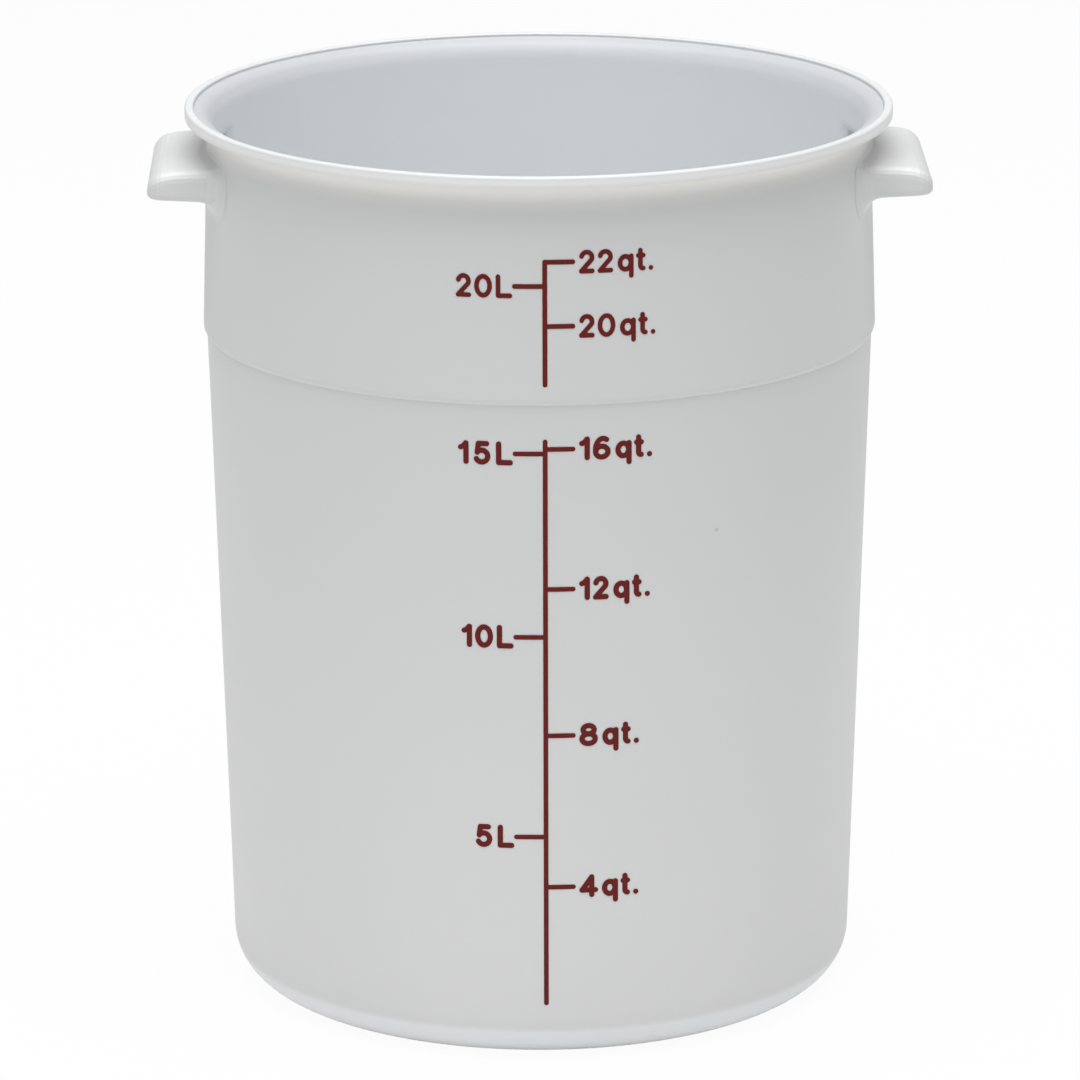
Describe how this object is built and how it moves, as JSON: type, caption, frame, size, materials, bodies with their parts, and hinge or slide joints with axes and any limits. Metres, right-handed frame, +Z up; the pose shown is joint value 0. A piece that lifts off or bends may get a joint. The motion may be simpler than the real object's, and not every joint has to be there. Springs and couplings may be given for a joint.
{
  "type": "dough proofing container",
  "caption": "Round open-top plastic tub for proofing dough, with a stepped stacking shoulder, a flared rim, hollow moulded grips and a printed volume scale.",
  "frame": {"origin": "centre of the plane that the tub stands on", "axes": "+Z up through the open mouth, X through the two grips, the printed scale faces -Y"},
  "size_m": [0.3272, 0.2974, 0.381],
  "materials": {
    "white_polyethylene": "satin moulded natural white, slightly translucent",
    "red_ink": "flat dark red screen print"
  },
  "bodies": {
    "root": {"tub": "white_polyethylene", "rim": "white_polyethylene", "left_handle": "white_polyethylene", "right_handle": "white_polyethylene", "upper_scale_print": "red_ink", "lower_scale_print": "red_ink"}
  },
  "joints": []
}
